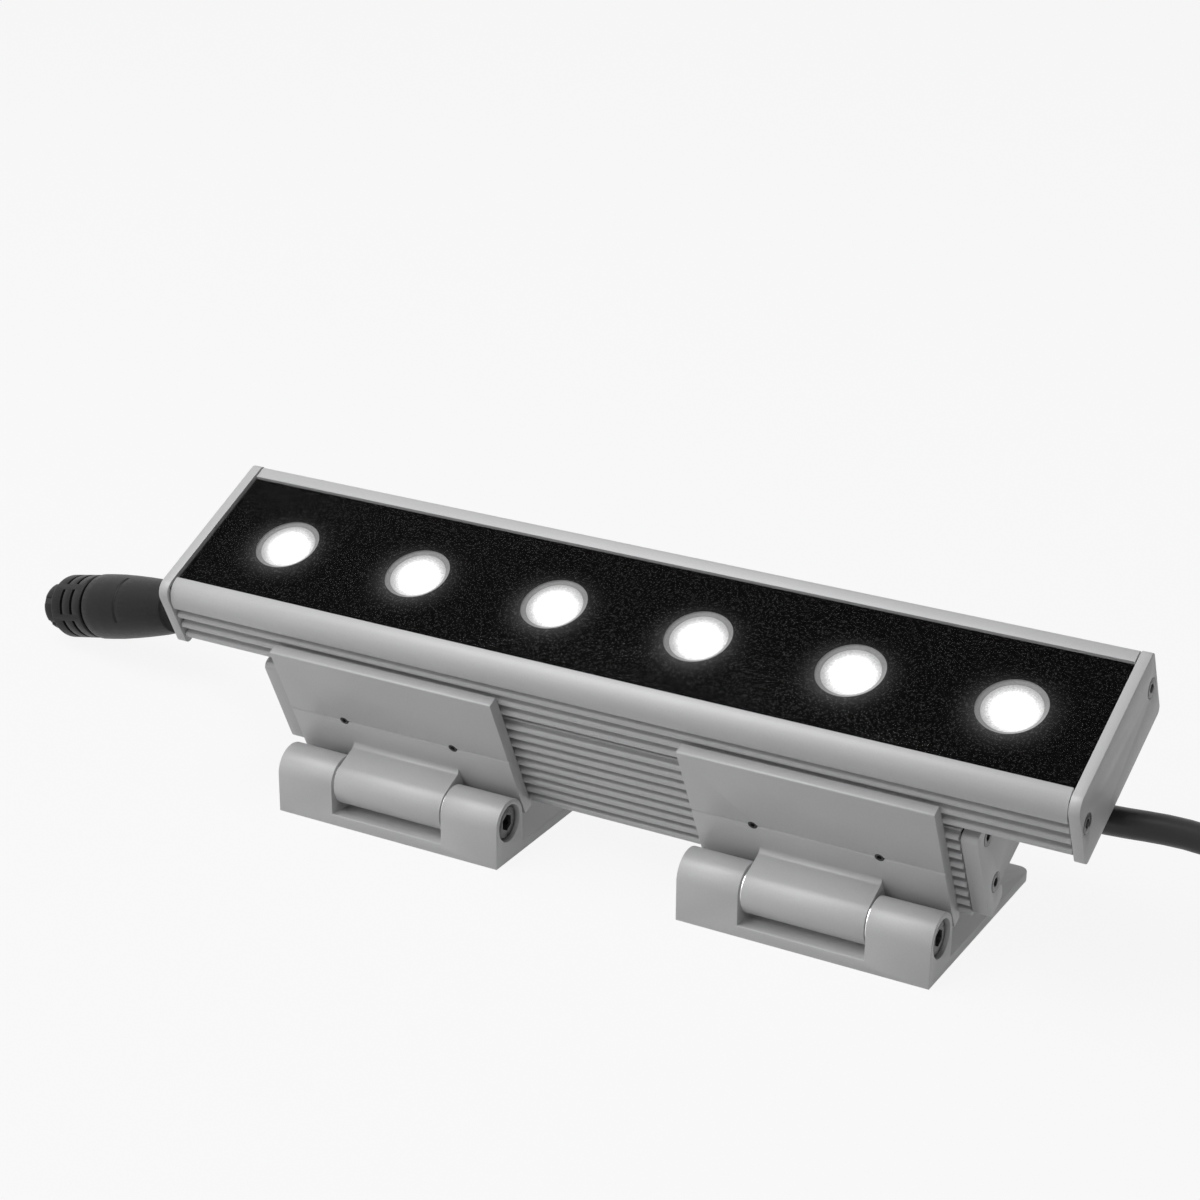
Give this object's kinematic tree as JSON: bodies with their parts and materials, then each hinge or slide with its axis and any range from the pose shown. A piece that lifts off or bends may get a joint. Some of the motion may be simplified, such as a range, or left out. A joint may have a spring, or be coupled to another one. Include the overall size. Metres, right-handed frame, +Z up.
{
  "type": "wall grazer light",
  "caption": "Slim grazing lamp bar with a row of round light openings, a ribbed driver box, tilting brackets on flat base plates, and a short lead with a round connector at each end.",
  "frame": {"origin": "on the mounting surface, at the middle of the footprint of the lamp and its base plates", "axes": "+X along the lamp bar, +Y from its front towards the back edge of its base plates, +Z up from the mounting surface"},
  "size_m": [0.6431, 0.0945, 0.094],
  "materials": {
    "silver": "satin powder-grey",
    "inner_metal": "mill finish",
    "black_panel": "finely speckled, semi-gloss",
    "clear_glass": "clear, smooth",
    "lens": "clear moulded optic",
    "holder": "light grey, satin",
    "light_board": "white solder mask",
    "chip_yellow": "bright",
    "pad": "soft",
    "gasket": "matt",
    "screw_dark": "black oxide",
    "screw_plain": "plain",
    "washer": "bright",
    "bush": "smooth",
    "wire": "smooth",
    "board_green": "solder mask",
    "post": "plain",
    "winding": "tape-wound",
    "can": "sleeved can",
    "copper": "enamelled wire",
    "chip_black": "moulded",
    "terminal": "moulded",
    "gland": "moulded, matt",
    "locknut": "plain",
    "lead_black": "smooth jacket",
    "connector_black": "moulded, satin",
    "contact": "bright"
  },
  "bodies": {
    "bases": {"base_left": "silver", "base_right": "silver", "pivot_bolt_left": "screw_dark", "pivot_bolt_right": "screw_dark", "friction_washers": "washer"},
    "lamp": {"head_extrusion": "silver", "head_cap_left": "silver", "head_cap_right": "silver", "head_cap_gaskets": "gasket", "head_cap_screws": "screw_dark", "front_panel": "black_panel", "front_glass": "clear_glass", "glass_gasket": "gasket", "lens_holders": "holder", "lenses": "lens", "light_board": "light_board", "light_chips": "chip_yellow", "light_board_screws": "screw_plain", "thermal_pad": "pad", "bridge_strip": "inner_metal", "joining_screws": "screw_plain", "wire_grommet": "gasket", "link_wires": "wire", "driver_housing": "silver", "driver_plate_left": "silver", "driver_plate_right": "silver", "driver_plate_gaskets": "gasket", "driver_plate_screws": "screw_dark", "driver_board": "board_green", "driver_board_posts": "post", "driver_transformer": "winding", "driver_capacitors": "can", "driver_choke": "copper", "driver_chips": "chip_black", "terminal_blocks": "terminal", "gland_left": "gland", "gland_right": "gland", "gland_seals": "gasket", "gland_locknuts": "locknut", "lead_tail_left": "lead_black", "lead_tail_right": "lead_black", "leaf_left": "silver", "leaf_right": "silver", "leaf_screws": "screw_dark", "barrel_bushes": "bush", "left_lead": "lead_black", "left_connector": "connector_black", "left_connector_shell": "connector_black", "left_contacts": "contact", "right_lead": "lead_black", "right_connector": "connector_black", "right_insert": "connector_black", "right_contacts": "contact"},
    "left_ring": {"left_lock_ring": "connector_black"},
    "right_ring": {"right_lock_ring": "connector_black"}
  },
  "joints": [
    {"name": "tilt", "type": "hinge", "parent": "bases", "child": "lamp", "pos_m": [0, -0.0293, 0.0127], "axis": [1, 0, 0], "range_deg": [-24, 85]},
    {"name": "left_ring_turn", "type": "hinge", "parent": "lamp", "child": "left_ring", "pos_m": [-0.2475, 0.03797, 0.01508], "axis": [-0.9519, 0.1764, -0.2504], "continuous": true},
    {"name": "right_ring_turn", "type": "hinge", "parent": "lamp", "child": "right_ring", "pos_m": [0.36192, -0.03193, 0.0116], "axis": [0.9986, -0.0523, 0], "continuous": true}
  ]
}
